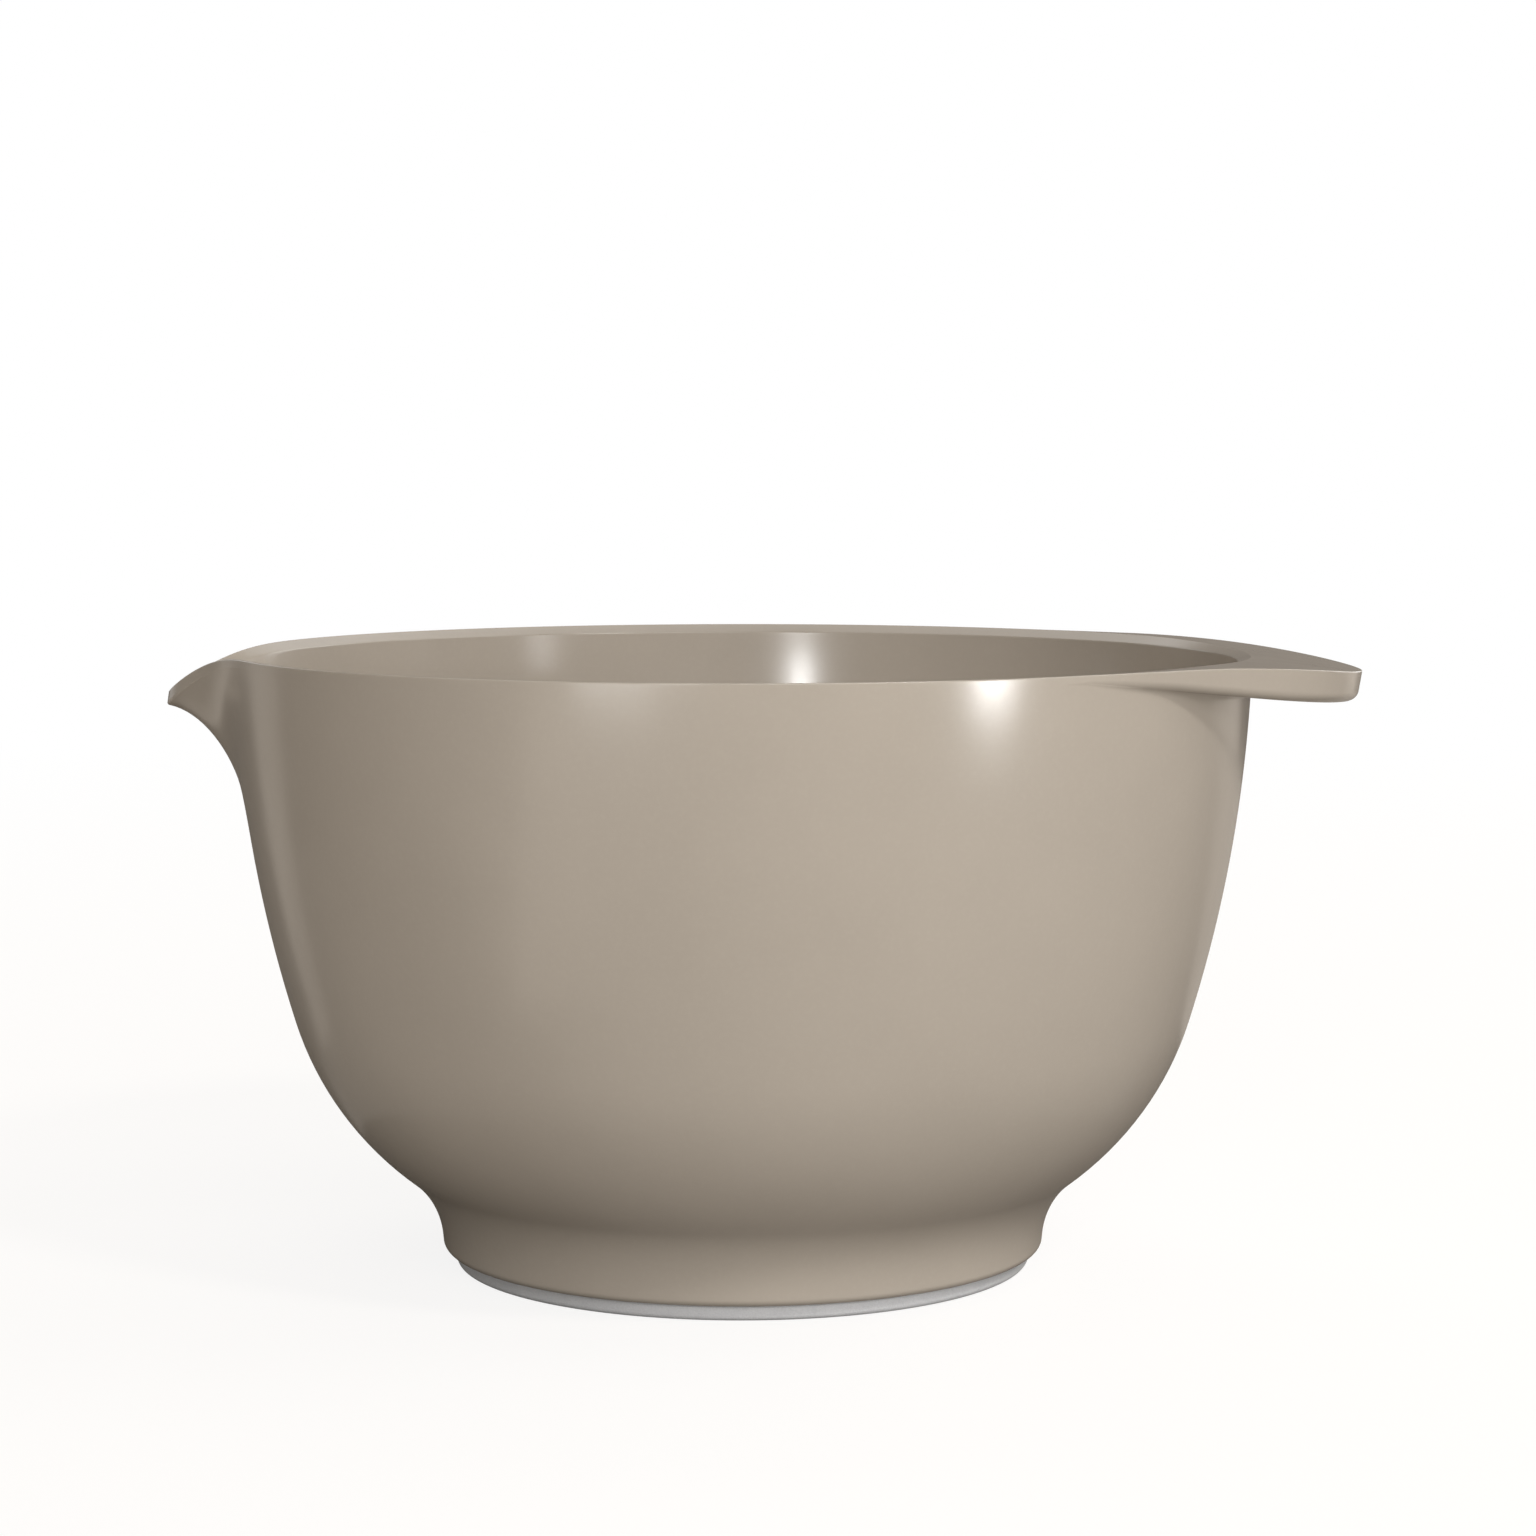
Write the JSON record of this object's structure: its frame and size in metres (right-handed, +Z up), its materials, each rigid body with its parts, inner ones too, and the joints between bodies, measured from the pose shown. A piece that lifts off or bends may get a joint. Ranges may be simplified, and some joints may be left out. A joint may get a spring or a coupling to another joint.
{
  "type": "mixing bowl",
  "caption": "Deep round mixing bowl with a pouring spout, a flat tongue grip opposite it and a moulded foot that stands on a non-slip rubber ring.",
  "frame": {"origin": "on the surface that the bowl stands on, under the middle of the whole object's box; the bowl's own axis stands a little to the spout's side of it", "axes": "+Z up, the spout points to -X and the grip to +X; the XZ plane is the plane of symmetry"},
  "size_m": [0.2592, 0.22, 0.1337],
  "materials": {
    "melamine": "glossy moulded melamine, warm grey",
    "rubber": "matt grey rubber"
  },
  "bodies": {
    "root": {"bowl": "melamine", "non_slip_ring": "rubber"}
  },
  "joints": []
}
